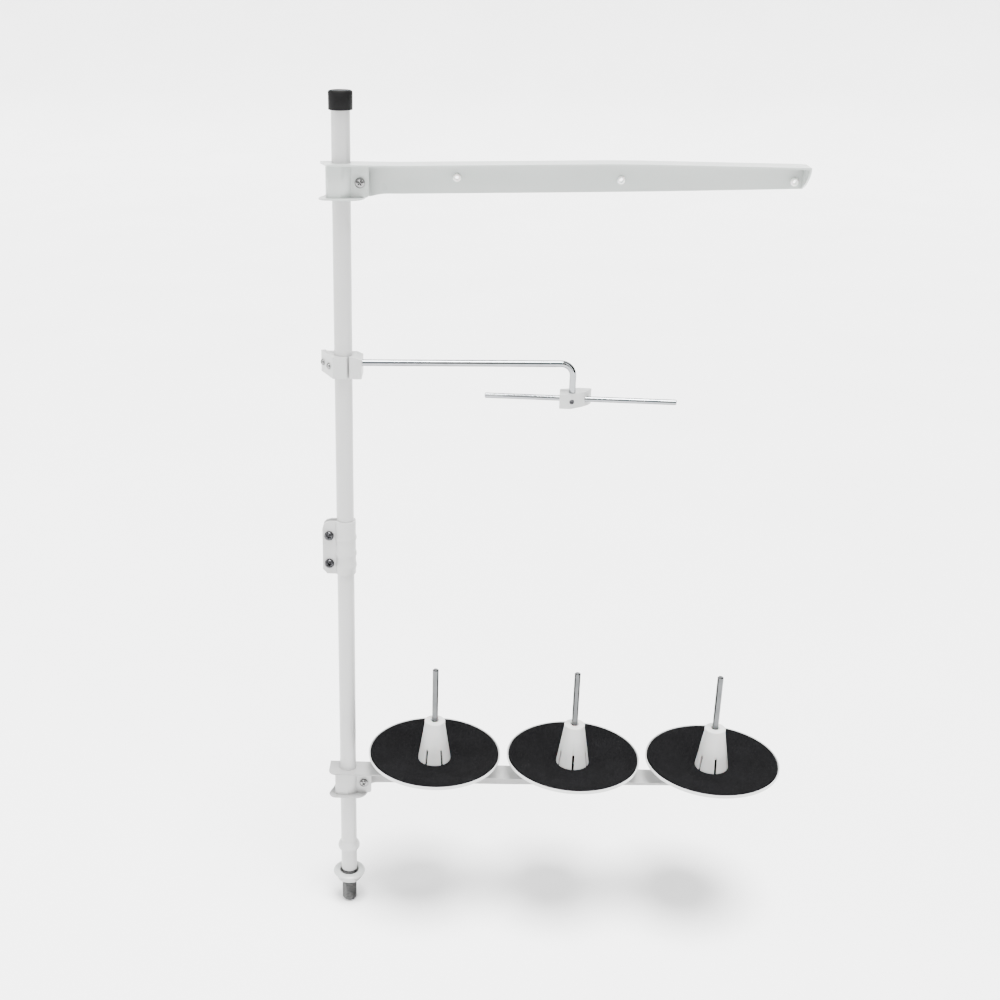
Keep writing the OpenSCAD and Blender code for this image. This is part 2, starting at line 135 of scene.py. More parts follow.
def paint(name, col, rough=0.36, wear=0.35, peel=0.10):
    """Sprayed enamel on steel: faint tone drift, orange peel, dust speckle, thinner paint on edges."""
    m, t, p = new_mat(name)
    drift = tex_noise(t, 9.0, 3.0)
    speck = tex_noise(t, 900.0, 2.0)
    c1 = ramp(t, drift.outputs["Fac"], [(0.30, rgba(col, 0.955)), (0.52, rgba(col)), (0.72, rgba(col, 1.025))])
    c2 = n_new(t, "ShaderNodeMixRGB", blend_type="MULTIPLY")
    c2.inputs["Fac"].default_value = 0.35
    sp = ramp(t, speck.outputs["Fac"], [(0.28, (0.80, 0.80, 0.79, 1)), (0.40, (1, 1, 1, 1))])
    t.links.new(c1.outputs["Color"], c2.inputs["Color1"])
    t.links.new(sp.outputs["Color"], c2.inputs["Color2"])
    em = edge_mask(t, 0.0005)
    patch = tex_noise(t, 160.0, 3.0)
    pm = ramp(t, patch.outputs["Fac"], [(0.50, (0, 0, 0, 1)), (0.66, (1, 1, 1, 1))])
    mul = n_new(t, "ShaderNodeMath", operation="MULTIPLY")
    t.links.new(em.outputs["Color"], mul.inputs[0])
    t.links.new(pm.outputs["Color"], mul.inputs[1])
    mul2 = n_new(t, "ShaderNodeMath", operation="MULTIPLY")
    mul2.inputs[1].default_value = wear
    t.links.new(mul.outputs["Value"], mul2.inputs[0])
    c3 = n_new(t, "ShaderNodeMixRGB")
    c3.inputs["Color2"].default_value = rgba((0.50, 0.50, 0.49))
    t.links.new(mul2.outputs["Value"], c3.inputs["Fac"])
    t.links.new(c2.outputs["Color"], c3.inputs["Color1"])
    t.links.new(c3.outputs["Color"], p.inputs["Base Color"])
    rr = ramp(t, drift.outputs["Fac"], [(0.3, (rough * 0.85,) * 3 + (1,)), (0.7, (rough * 1.2,) * 3 + (1,))])
    t.links.new(rr.outputs["Color"], p.inputs["Roughness"])
    p.inputs["Coat Weight"].default_value = 0.25
    p.inputs["Coat Roughness"].default_value = 0.18
    op = tex_noise(t, 420.0, 2.0, 0.5)
    bump(t, p, op.outputs["Fac"], peel, 0.0002)
    return m


def metal(name, col, rough, scratch=(1, 1, 1), scratch_scale=600.0, dirt=0.25, bump_k=0.08):
    """Plated or polished steel with drawn marks along one axis and cloudy roughness."""
    m, t, p = new_mat(name)
    p.inputs["Metallic"].default_value = 1.0
    st = tex_noise(t, scratch_scale, 3.0, 0.6, stretch=scratch)
    cl = tex_noise(t, 70.0, 4.0)
    c = ramp(t, cl.outputs["Fac"], [(0.30, rgba(col, 1 - dirt)), (0.55, rgba(col)), (0.8, rgba(col, 1.04))])
    t.links.new(c.outputs["Color"], p.inputs["Base Color"])
    r1 = ramp(t, st.outputs["Fac"], [(0.3, (rough * 0.7,) * 3 + (1,)), (0.7, (min(1, rough * 1.35),) * 3 + (1,))])
    t.links.new(r1.outputs["Color"], p.inputs["Roughness"])
    bump(t, p, st.outputs["Fac"], bump_k, 0.0001)
    return m


def plastic(name, col, rough, sss=0.0, grain=0.06, spec=0.5):
    m, t, p = new_mat(name)
    p.inputs["Specular IOR Level"].default_value = spec
    drift = tex_noise(t, 60.0, 3.0)
    c = ramp(t, drift.outputs["Fac"], [(0.3, rgba(col, 0.95)), (0.6, rgba(col)), (0.8, rgba(col, 1.02))])
    t.links.new(c.outputs["Color"], p.inputs["Base Color"])
    rr = ramp(t, drift.outputs["Fac"], [(0.3, (rough * 0.85,) * 3 + (1,)), (0.7, (rough * 1.2,) * 3 + (1,))])
    t.links.new(rr.outputs["Color"], p.inputs["Roughness"])
    p.inputs["Subsurface Weight"].default_value = sss
    p.inputs["Subsurface Scale"].default_value = 0.002
    g = tex_noise(t, 1500.0, 2.0)
    bump(t, p, g.outputs["Fac"], grain, 0.0001)
    return m


def foam_mat(name):
    """Closed charcoal foam: pores and fine nap; the colour follows the pore relief, darker in the low spots as painted
    shade in the pores.
    """
    m, t, p = new_mat(name)
    co = n_new(t, "ShaderNodeTexCoord")
    vo = n_new(t, "ShaderNodeTexVoronoi", feature="F1")
    vo.inputs["Scale"].default_value = 900.0
    t.links.new(co.outputs["Object"], vo.inputs["Vector"])
    no = tex_noise(t, 1400.0, 3.0, 0.65)
    big = tex_noise(t, 38.0, 4.0)
    mix = n_new(t, "ShaderNodeMath", operation="ADD")
    t.links.new(vo.outputs["Distance"], mix.inputs[0])
    t.links.new(no.outputs["Fac"], mix.inputs[1])
    # Colour ramp on the pore relief: the low spots get the darkest colour, a painted shade in the pores, and the crests
    # are lighter.
    c = ramp(t, mix.outputs["Value"], [(0.45, (0.0006, 0.0006, 0.0007, 1)), (0.85, (0.0017, 0.0017, 0.0019, 1)), (1.15, (0.0055, 0.0055, 0.0058, 1))])
    c2 = n_new(t, "ShaderNodeMixRGB", blend_type="MULTIPLY")
    c2.inputs["Fac"].default_value = 0.6
    b2 = ramp(t, big.outputs["Fac"], [(0.3, (0.72, 0.72, 0.72, 1)), (0.7, (1.25, 1.25, 1.27, 1))])
    t.links.new(c.outputs["Color"], c2.inputs["Color1"])
    t.links.new(b2.outputs["Color"], c2.inputs["Color2"])
    t.links.new(c2.outputs["Color"], p.inputs["Base Color"])
    p.inputs["Roughness"].default_value = 0.93
    p.inputs["Specular IOR Level"].default_value = 0.02
    p.inputs["Sheen Weight"].default_value = 0.004
    p.inputs["Sheen Roughness"].default_value = 0.45
    p.inputs["Sheen Tint"].default_value = (0.8, 0.82, 0.85, 1)
    b = bump(t, p, mix.outputs["Value"], 0.55, 0.0004)
    return m


PAINT = paint("stand_paint", (0.37, 0.37, 0.366))
PAINT_G = paint("guide_paint", (0.385, 0.408, 0.393), rough=0.30)
# Darker copy of the stand's grey paint for the spool arm: painted shade for the plates' shadow over the lower arm.
SPOOL_ARM_SHADED_PAINT = paint("spool_arm_paint_painted_shade", (0.235, 0.235, 0.232), rough=0.38)
CAST = paint("clamp_paint", (0.38, 0.385, 0.38), rough=0.42, peel=0.22)
PLATE = paint("plate_paint", (0.50, 0.505, 0.50), rough=0.28)
WASHER = paint("washer_paint", (0.35, 0.362, 0.355), rough=0.36)
CHROME = metal("chrome_drawn", (0.25, 0.26, 0.268), 0.07, (0.05, 1, 1), 500.0, 0.12, 0.03)
ZINC = metal("zinc_plate", (0.32, 0.32, 0.315), 0.28, (1, 1, 1), 500.0, 0.3)
ZINC_V = metal("zinc_pin", (0.105, 0.108, 0.11), 0.14, (1, 1, 0.04), 500.0, 0.25)
NUTM = metal("nut_zinc", (0.34, 0.34, 0.335), 0.36, (1, 1, 1), 420.0, 0.25)
SCREW = metal("screw_plate", (0.20, 0.20, 0.198), 0.20, (1, 1, 1), 500.0, 0.35)
DARK = metal("dark_plate", (0.05, 0.05, 0.053), 0.26, (1, 1, 1), 500.0, 0.35)
RAW = metal("thread_steel", (0.105, 0.105, 0.104), 0.38, (1, 1, 1), 380.0, 0.4, 0.15)
RUBBER = plastic("cap_rubber", (0.0016, 0.0016, 0.0018), 0.6, 0.0, 0.25, 0.12)
EYE = plastic("eyelet_plastic", (0.74, 0.74, 0.725), 0.22, 0.10, 0.03)
CONE = plastic("cone_plastic", (0.50, 0.50, 0.49), 0.38, 0.12, 0.05)
FOAM = foam_mat("pad_foam")

# ---------------------------------------------------------------- mesh helpers


def finish_obj(name, bm, mat, body, smooth=True, angle=32.0, weld=0.0):
    if weld:
        bmesh.ops.remove_doubles(bm, verts=bm.verts, dist=weld)
    bmesh.ops.recalc_face_normals(bm, faces=bm.faces)
    me = bpy.data.meshes.new(name)
    for e in bm.edges:
        if len(e.link_faces) == 2:
            e.smooth = e.calc_face_angle(0.0) < math.radians(angle)
    for f in bm.faces:
        f.smooth = smooth
    bm.to_mesh(me)
    bm.free()
    o = bpy.data.objects.new(name, me)
    bpy.context.scene.collection.objects.link(o)
    if mat is not None:
        me.materials.append(mat)
    if body:
        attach(o, body)
    return o


def lathe(bm, profile, segs=96, wobble=None, place=Matrix.Identity(4)):
    """Turns (r, z) points round Z. A point at r 0 becomes one vertex."""
    rings = []
    for r, z in profile:
        if r < 1e-9:
            rings.append([bm.verts.new(place @ Vector((0, 0, z)))])
            continue
        ring = []
        for k in range(segs):
            a = 2 * math.pi * k / segs
            dr, dz = wobble(a, r, z) if wobble else (0, 0)
            ring.append(bm.verts.new(place @ Vector(((r + dr) * math.cos(a), (r + dr) * math.sin(a), z + dz))))
        rings.append(ring)
    for p, q in zip(rings, rings[1:]):
        for k in range(segs):
            k2 = (k + 1) % segs
            if len(p) == 1 and len(q) == 1:
                continue
            if len(p) == 1:
                bm.faces.new((p[0], q[k], q[k2]))
            elif len(q) == 1:
                bm.faces.new((p[k], q[0], p[k2]))
            else:
                bm.faces.new((p[k], q[k], q[k2], p[k2]))
    return rings


def close_lathe(bm, a, b):
    n = len(a)
    for k in range(n):
        k2 = (k + 1) % n
        bm.faces.new((a[k], b[k], b[k2], a[k2]))


def prism(outline, a0, a1, axis):
    """A closed prism. outline is 2D; axis says which way it is drawn out."""
    bm = bmesh.new()

    def at(u, v, w):
        return {"X": (w, u, v), "Y": (u, w, v), "Z": (u, v, w)}[axis]

    v0 = [bm.verts.new(at(u, v, a0)) for u, v in outline]
    v1 = [bm.verts.new(at(u, v, a1)) for u, v in outline]
    bm.faces.new(v0)
    bm.faces.new(list(reversed(v1)))
    for k in range(len(v0)):
        k2 = (k + 1) % len(v0)
        bm.faces.new((v0[k], v1[k], v1[k2], v0[k2]))
    bmesh.ops.recalc_face_normals(bm, faces=bm.faces)
    return bm


def tool(bm, name="cutter"):
    me = bpy.data.meshes.new(name)
    bmesh.ops.recalc_face_normals(bm, faces=bm.faces)
    bm.to_mesh(me)
    bm.free()
    o = bpy.data.objects.new(name, me)
    bpy.context.scene.collection.objects.link(o)
    return o


def apply_all(o):
    dg = bpy.context.evaluated_depsgraph_get()
    me = bpy.data.meshes.new_from_object(o.evaluated_get(dg))
    old = o.data
    o.modifiers.clear()
    o.data = me
    bpy.data.meshes.remove(old)


def boolean(o, cutter, op="DIFFERENCE"):
    m = o.modifiers.new("b", "BOOLEAN")
    m.operation = op
    m.solver = "EXACT"
    m.object = cutter
    bpy.context.view_layer.update()
    apply_all(o)
    bpy.data.objects.remove(cutter)


def tidy_edges(o, width, segs=2, angle=30.0, planar=True):
    """Rounds the sharp edges of a piece or of a carried-over CAD node, by modifiers only."""
    w = o.modifiers.new("weld", "WELD")
    w.merge_threshold = 0.000002
    if planar:
        d = o.modifiers.new("planar", "DECIMATE")
        d.decimate_type = "DISSOLVE"
        d.angle_limit = math.radians(0.6)
    b = o.modifiers.new("edge", "BEVEL")
    b.width = width
    b.segments = segs
    b.limit_method = "ANGLE"
    b.angle_limit = math.radians(angle)
    b.use_clamp_overlap = True
    b.harden_normals = True
    b.miter_outer = "MITER_ARC"
    return o


def circle2d(cx, cy, r, n=64):
    return [(cx + r * math.cos(2 * math.pi * k / n), cy + r * math.sin(2 * math.pi * k / n)) for k in range(n)]


def arc2d(cx, cy, r, a0, a1, n):
    return [(cx + r * math.cos(math.radians(a0 + (a1 - a0) * k / n)), cy + r * math.sin(math.radians(a0 + (a1 - a0) * k / n))) for k in range(n + 1)]


# ---------------------------------------------------------------- folded sheet arms


def lerp_pts(pts, x):
    """Height of a polyline at x, straight between its points."""
    if x <= pts[0][0]:
        return pts[0][1]
    for (xa, za), (xb, zb) in zip(pts, pts[1:]):
        if x <= xb:
            s = (x - xa) / (xb - xa)
            return za + (zb - za) * s
    return pts[-1][1]


def folded_arm(name, node, top, low, left, mat, body, end_flange):
    """One sheet: back web, upper flange and a short lower flange, with rolled bends.
    top and low are (x, height over the bracket's underside) in millimetres."""
    a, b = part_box(node)
    z0 = a.z
    end = b.x
    h = top[0][1] * MM
    yb, yf, t = ARM_BACK, ARM_FRONT, SHEET
    ro, ri = 2.6 * MM, 1.1 * MM
    sec = []  # closed outline in (y, z), outer side first
    sec += [(yf, h), (yb - ro, h)]
    sec += arc2d(yb - ro, h - ro, ro, 90, 0, 6)[1:]
    sec += arc2d(yb - ro, ro, ro, 0, -90, 6)
    sec += [(yf, 0), (yf, t), (yb - ro, t)]
    sec += arc2d(yb - ro, ro, ri, -90, 0, 6)[1:]
    sec += arc2d(yb - ro, h - ro, ri, 0, 90, 6)
    sec += [(yf, h - t)]
    xs = [ARM_LEFT]
    while xs[-1] + 6 * MM < end:
        xs.append(xs[-1] + 6 * MM)
    if end - xs[-1] > 0.5 * MM:
        xs.append(end)
    bm = bmesh.new()
    rings = [[bm.verts.new((x, y, z0 + z)) for y, z in sec] for x in xs]
    for p, q in zip(rings, rings[1:]):
        for k in range(len(sec)):
            k2 = (k + 1) % len(sec)
            bm.faces.new((p[k], q[k], q[k2], p[k2]))
    bm.faces.new(rings[0])
    bm.faces.new(list(reversed(rings[-1])))
    for v in bm.verts:
        if v.co.z > z0 + h / 2:
            v.co.z += lerp_pts(top, v.co.x / MM) * MM - h
    o = tool(bm, name)
    # the lower flange and the web's lower part end past the bracket
    x1 = low[0][0]
    cut = [(x1, -3), (x1, 0.0)] + [tuple(q) for q in low[1:]] + [(end / MM + 3, low[-1][1]), (end / MM + 3, -3)]
    boolean(o, tool(prism([(x * MM, z0 + z * MM) for x, z in cut], yf - 0.01, yb + 0.01, "Y")))
    # left ends of the flanges, and the lower flange's right
    for pts, za, zb in ((left, z0 + h / 2, z0 + h + 1 * MM), ([(-14.0, 12.6), (-14.2, 8.0), (-15.2, 3.0), (-17.0, -2.0), (-18.3, -6.0), (-18.5, -8.0), (-17.6, -10.2), (-16.1, -12.1), (-14.4, -13.4), (-12.5, -14.0)], z0 - 1 * MM, z0 + h / 2)):
        lc = [(-19.5, pts[0][1])] + list(pts) + [(pts[-1][0], -15.5), (-19.5, -15.5)]
        boolean(o, tool(prism([(x * MM, y * MM) for x, y in lc], za, zb, "Z")))
    rc = [(9.5, -14.0), (12.0, -13.3), (14.4, -12.0), (16.4, -10.2), (18.0, -7.6), (19.2, -4.8), (20.0, -1.6), (20.3, 2.0), (20.3, 10.4), (end / MM + 3, 10.4), (end / MM + 3, -15.5), (9.5, -15.5)]
    boolean(o, tool(prism([(x * MM, y * MM) for x, y in rc], z0 - 1 * MM, z0 + 3 * MM, "Z")))
    # the web stops short of the flanges' left tips
    wl = [(-19.5, z0 + 1.5 * MM), (-13.0, z0 + 1.5 * MM), (-13.0, z0 + h - 1.5 * MM), (-19.5, z0 + h - 1.5 * MM)]
    boolean(o, tool(prism([(wl[0][0] * MM, wl[0][1]), (wl[1][0] * MM, wl[1][1]), (wl[2][0] * MM, wl[2][1]), (wl[3][0] * MM, wl[3][1])], yf - 0.01, yb + 0.01, "Y")))
    # pole hole, and the screw's hole
    boolean(o, tool(prism(circle2d(0, 0, POLE_R + 0.03 * MM, 96), z0 - 1 * MM, z0 + h + 1 * MM, "Z")))
    sa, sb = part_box(node + "_nut")
    boolean(o, tool(prism(circle2d((sa.x + sb.x) / 2, (sa.z + sb.z) / 2, 2.6 * MM, 40), yb - 3 * MM, yb + 1 * MM, "Y")))
    if end_flange:
        zt = lerp_pts(top, end / MM)
        edge = [(-14.0, zt - 0.8), (-14.0, 28.8), (-13.2, 27.0), (-12.0, 25.4), (-10.3, 23.6), (-8.2, 21.7), (-5.6, 19.7), (-3.4, 18.2), (-1.0, 16.7), (1.9, 15.2), (4.8, 13.9), (8.0, 12.7)]
        ef = prism([(yb - 0.4 * MM, z0 + (zt - 0.8) * MM)] + [(y * MM, z0 + z * MM) for y, z in edge] + [(yb - 0.4 * MM, z0 + 11.9 * MM)],
                   end - t, end, "X")
        boolean(o, tool(ef, "endflange"), "UNION")
        for i in (1, 2, 3):
            a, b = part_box("thread_eyelet_%d" % i)
            boolean(o, tool(prism(circle2d((a.x + b.x) / 2, (a.z + b.z) / 2, 2.62 * MM, 40), yb - 3 * MM, yb + 1 * MM, "Y")))
    else:
        for px, py, _, _ in PIN_AT:
            boolean(o, tool(prism(circle2d(px, py, 3.01 * MM, 40), z0 + 20 * MM, z0 + h + 1 * MM, "Z")))
    for p in o.data.polygons:
        p.use_smooth = True
    tidy_edges(o, 0.28 * MM, 2, 34.0)
    o.data.materials.clear()
    o.data.materials.append(mat)
    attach(o, body)
    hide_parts(node)
    return o


def bow(pts, steps=6):
    """Adds points between the given ones on a smooth curve (Catmull-Rom)."""
    out = []
    for k in range(len(pts) - 1):
        p0, p1, p2, p3 = pts[max(k - 1, 0)], pts[k], pts[k + 1], pts[min(k + 2, len(pts) - 1)]
        for j in range(steps):
            u = j / steps
            x = p1[0] + (p2[0] - p1[0]) * u
            m1 = (p2[1] - p0[1]) / max(p2[0] - p0[0], 1e-6) * (p2[0] - p1[0])
            m2 = (p3[1] - p1[1]) / max(p3[0] - p1[0], 1e-6) * (p2[0] - p1[0])
            out.append((x, (2 * u ** 3 - 3 * u * u + 1) * p1[1] + (u ** 3 - 2 * u * u + u) * m1 + (3 * u * u - 2 * u ** 3) * p2[1] + (u ** 3 - u * u) * m2))
    out.append(pts[-1])
    return out


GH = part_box("guide_arm_clip")[1].z / MM - GUIDE_Z0 / MM + 1.55
GE, SE = GUIDE_END / MM, SPOOL_END / MM
folded_arm("guide_arm_sheet", "guide_arm",
           [(19.5, GH), (49, GH)] + bow([(49, GH), (120, GH + 1.8), (224, GH + 3.75), (300, GH + 3.6), (GE - 10, GH + 2.9), (GE, GH + 2.7)])[1:],
           [(20.3, 0.0), (23, 0.15)] + bow([(25, 0.5), (30, 1.7), (36, 2.5), (49, 2.7), (251, 7.4), (GE - 10, 11.3), (GE, 11.6)]),
           [(-18.5, 8.0), (-17.9, 4.5), (-11.6, -12.4), (-11.0, -14.0)], PAINT_G, "guide_arm_assembly", True)
folded_arm("spool_arm_sheet", "spool_arm",
           [(19.5, 28.0), (SE, 28.0)],
           [(20.3, 0.0), (20.9, 0.5), (21.5, 1.2), (22.6, 2.0), (24, 2.6), (25.5, 3.1), (27, 3.4), (43, 4.0), (161, 5.7), (301, 9.6), (SE - 5, 11.4), (SE - 3, 12.2), (SE - 1.2, 13.2), (SE, 14.0)],
           [(-18.5, -8.0), (-17.6, -10.2), (-16.1, -12.1), (-14.4, -13.4), (-12.5, -14.0)], SPOOL_ARM_SHADED_PAINT, "spool_arm_assembly", False)

# ---------------------------------------------------------------- screws


def cross_screw(name, node, at, head_r, head_h, shank_r, length, mat, body, turn=0.0, kind="cross", out=Vector((0, -1, 0)), parts=None):
    """Pan head with a cross or hexagon recess, and a threaded shank. out points from the head away from the work."""
    prof = [(0, head_h)]
    for k in range(1, 13):
        a = math.radians(90 - 7.5 * k)
        prof.append((head_r * math.cos(a) ** 0.85, head_h * (0.30 + 0.70 * math.sin(a))))
    prof += [(head_r, head_h * 0.12), (head_r * 0.97, 0), (shank_r, 0)]
    z = 0.0
    while z > -length + 0.9 * MM:
        prof += [(shank_r, z - 0.10 * MM), (shank_r - 0.32 * MM, z - 0.42 * MM), (shank_r, z - 0.74 * MM)]
        z -= 0.8 * MM
    prof += [(shank_r - 0.4 * MM, -length), (0, -length)]
    bm = bmesh.new()
    q = Vector((0, 0, 1)).rotation_difference(out).to_matrix().to_4x4()
    place = Matrix.Translation(at) @ q @ Matrix.Rotation(math.radians(turn), 4, "Z")
    lathe(bm, prof, 48)
    bmesh.ops.recalc_face_normals(bm, faces=bm.faces)
    o = tool(bm, name)
    if kind == "cross":
        w, l = head_r * 0.13, head_r * 0.58
        pts = [(w, w), (w, l), (-w, l), (-w, w), (-l, w), (-l, -w), (-w, -w), (-w, -l), (w, -l), (w, -w), (l, -w), (l, w)]
        cb = bmesh.new()
        top = [cb.verts.new((x, y, head_h + 1 * MM)) for x, y in pts]
        bot = [cb.verts.new((x * 0.55, y * 0.55, head_h * 0.25)) for x, y in pts]
        cb.faces.new(top)
        cb.faces.new(list(reversed(bot)))
        for k in range(12):
            k2 = (k + 1) % 12
            cb.faces.new((top[k], bot[k], bot[k2], top[k2]))
        boolean(o, tool(cb))
    else:
        cb = prism(circle2d(0, 0, head_r * 0.5, 6), head_h * 0.25, head_h + 1 * MM, "Z")
        boolean(o, tool(cb))
    o.data.transform(place)
    for p in o.data.polygons:
        p.use_smooth = True
    w = o.modifiers.new("weld", "WELD")
    w.merge_threshold = 0.000002
    b = o.modifiers.new("edge", "BEVEL")
    b.width = 0.12 * MM
    b.segments = 2
    b.limit_method = "ANGLE"
    b.angle_limit = math.radians(40)
    b.harden_normals = True
    o.data.materials.clear()
    o.data.materials.append(mat)
    if parts is not None:
        parts.append(o)
    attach(o, body)
    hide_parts(node)
    return o


for node, body in (("guide_arm_screw", "guide_arm_assembly"), ("spool_arm_screw", "spool_arm_assembly")):
    a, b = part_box(node)
    x, z = (a.x + b.x) / 2, (a.z + b.z) / 2
    cross_screw(node + "_pan", node, Vector((x, a.y + 3.2 * MM, z)), 4.4 * MM, 3.2 * MM, 2.5 * MM, 22.5 * MM, SCREW, body, turn=38)

a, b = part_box("coupler_screws")
x = (a.x + b.x) / 2
for k, z in enumerate((a.z + 4.5 * MM, b.z - 4.5 * MM)):
    cross_screw("coupler_screw_pan_%d" % (k + 1), "coupler_screws", Vector((x, a.y + 4.2 * MM, z)), 4.5 * MM, 4.2 * MM, 2.5 * MM, 14 * MM, DARK, "pole", turn=20 + 50 * k)

W = Vector((-0.894, -0.447, 0)).normalized()
for node, s in (("rod_clamp_set_screw", 8.5), ("rod_clamp_screw", 22.5)):
    p = Vector(((-8.5 - 0.447 * s) * MM, (-10.5 + 0.894 * s) * MM, 511 * MM))
    cross_screw(node + "_pan", node, p, 3.0 * MM, 2.4 * MM, 1.95 * MM, (2.6 if s < 10 else 13) * MM, SCREW, "rod_clamp", turn=15, out=W)

# ---------------------------------------------------------------- threaded stud, with a real helix


def helix_stud(name, z0, z1, r, pitch, depth, segs=64):
    """One helical thread surface. z0 is the free end, and the crest fades out at both ends."""
    bm = bmesh.new()
    per = 10
    n = int((z1 - z0) / pitch * per)
    rings = []
    for i in range(n + 1):
        ring = []
        for k in range(segs):
            a = 2 * math.pi * k / segs
            z = z0 + (z1 - z0) * i / n
            ph = ((z - z0) / pitch - k / segs) % 1.0
            tri = abs(ph - 0.5) * 2
            d = depth * min(1.0, max(0.0, (tri - 0.12) / 0.76))
            lead = min(1.0, (z - z0) / (1.8 * MM))
            rr = min(r - d, r - 1.7 * MM * (1 - lead))
            if z > z1 - 1.2 * MM:
                rr = r - (r - rr) * max(0.0, (z1 - z) / (1.2 * MM))
            ring.append(bm.verts.new((rr * math.cos(a), rr * math.sin(a), z)))
        rings.append(ring)
    for p, q in zip(rings, rings[1:]):
        for k in range(segs):
            k2 = (k + 1) % segs
            bm.faces.new((p[k], p[k2], q[k2], q[k]))
    # end face with a small centre drill mark
    prev = rings[0]
    for rr, z in ((r * 0.55, z0), (r * 0.16, z0), (r * 0.02, z0 + 0.8 * MM)):
        ring = [bm.verts.new((rr * math.cos(2 * math.pi * k / segs), rr * math.sin(2 * math.pi * k / segs), z)) for k in range(segs)]
        for k in range(segs):
            k2 = (k + 1) % segs
            bm.faces.new((ring[k], ring[k2], prev[k2], prev[k]))
        prev = ring
    bm.faces.new(list(reversed(prev)))
    bm.faces.new(rings[-1])
    return bm


o = finish_obj("threaded_stud_helix", helix_stud("s", STUD_END, TUBE_END - 0.02 * MM, STUD_R, 2.0 * MM, 1.0 * MM), RAW, "pole", angle=60)
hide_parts("threaded_stud")

# ---------------------------------------------------------------- foam pads


def foam_pad(i):
    a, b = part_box("foam_pad_%d" % i)
    cx, cy = (a.x + b.x) / 2, (a.y + b.y) / 2
    R = (b.x - a.x) / 2
    z_top = b.z
    z_hub = z_top - 8 * MM
    t = 4 * MM
    seed = Vector((11.3 * i, 4.7, 2.1 * i))

    def height(r, r0=16.6 * MM):
        s = max(0.0, (r - r0) / (R - r0))
        return z_hub + 8 * MM * s

    def wob(ang, r, z):
        u = Vector((math.cos(ang) * r, math.sin(ang) * r, 0))
        n1 = noise.noise(u * 28 + seed)
        n2 = noise.noise(u * 420 + seed)
        f = min(1.0, r / R)
        top = z > height(r) - 0.5 * t
        dz = (0.22 * MM * n1 * f + 0.035 * MM * n2) if top else 0.0
        dr = (-0.22 * MM - 0.22 * MM * n1) if r > R * 0.97 else 0.0
        return dr, min(dz, 0.25 * MM) if top else dz

    hole = 3.7 * MM
    prof = [(hole, z_hub - t + 0.3 * MM), (hole, z_hub - 0.5 * MM), (hole + 0.4 * MM, z_hub - 0.1 * MM)]
    n = 46
    for k in range(n + 1):
        r = hole + 1.2 * MM + (R - 3.2 * MM - hole - 1.2 * MM) * k / n
        prof.append((r, height(r) - 0.12 * MM))
    rc = 1.7 * MM
    zr = height(R) - 0.10 * MM
    for k in range(1, 8):
        ang = math.radians(90 - 90 * k / 7)
        prof.append((R - 0.10 * MM - rc + rc * math.cos(ang), zr - rc + rc * math.sin(ang)))
    prof += [(R - 0.15 * MM, zr - 2.4 * MM), (R - 0.35 * MM, zr - t + 0.55 * MM), (R - 1.0 * MM, zr - t + 0.22 * MM)]
    for k in range(1, 9):
        r = (R - 1 * MM) + (14 * MM - (R - 1 * MM)) * k / 8
        prof.append((r, height(r, 14 * MM) - t + 0.16 * MM))
    prof.append((hole + 0.5 * MM, z_hub - t + 0.16 * MM))
    bm = bmesh.new()
    rings = lathe(bm, prof, 220, wob, Matrix.Translation((cx, cy, 0)))
    close_lathe(bm, rings[-1], rings[0])
    o = finish_obj("foam_pad_soft_%d" % i, bm, FOAM, "spool_arm_assembly", angle=80)
    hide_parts("foam_pad_%d" % i)
    return o


for i in (1, 2, 3):
    foam_pad(i)

# ---------------------------------------------------------------- carried-over CAD nodes: materials, and rounded edges by modifiers


def dress(node, mat, width=0.0, segs=2, angle=30.0):
    o = nodes[node]
    if not o.data.materials:
        o.data.materials.append(mat)
    for k in range(len(o.data.materials)):
        o.data.materials[k] = mat
    if width:
        tidy_edges(o, width, segs, angle)


dress("lower_pole", PAINT)
dress("upper_pole", PAINT)
dress("pole_cap", RUBBER, 0.25 * MM, 2, 40)
dress("coupler_sleeve", PAINT, 0.35 * MM, 2, 35)
dress("coupler_nuts", ZINC, 0.15 * MM, 1, 35)
dress("guide_arm_clip", PAINT_G, 0.35 * MM, 2, 35)
dress("spool_arm_clip", PAINT, 0.35 * MM, 2, 35)
dress("guide_arm_nut", ZINC, 0.15 * MM, 1, 35)
dress("spool_arm_nut", ZINC, 0.15 * MM, 1, 35)
dress("rod_clamp_jaw", CAST, 0.5 * MM, 3, 35)
dress("rod_clamp_block", CAST, 0.5 * MM, 3, 35)
dress("support_rod", CHROME)
dress("cross_rod", CHROME)
dress("cross_holder", CAST, 0.6 * MM, 3, 35)
dress("cross_holder_screw", DARK)
dress("clamp_washer", WASHER, 0.0)
dress("clamp_nut", NUTM, 0.3 * MM, 2, 35)
for n in ("threaded_stud",):
    dress(n, RAW)
for n in ("guide_arm",):
    dress(n, PAINT_G)
for n in ("spool_arm",):
    dress(n, SPOOL_ARM_SHADED_PAINT)
for n in ("guide_arm_screw", "spool_arm_screw"):
    dress(n, ZINC)
for n in ("coupler_screws", "rod_clamp_screw", "rod_clamp_set_screw"):
    dress(n, DARK)
for i in (1, 2, 3):
    dress("thread_eyelet_%d" % i, EYE)
    dress("spool_plate_%d" % i, PLATE)
    dress("foam_pad_%d" % i, FOAM)
    dress("spool_cone_%d" % i, CONE, 0.3 * MM, 2, 40)
    dress("spool_pin_%d" % i, ZINC_V)
    dress("spool_pin_nuts_%d" % i, ZINC, 0.15 * MM, 1, 35)

# ---------------------------------------------------------------- floor


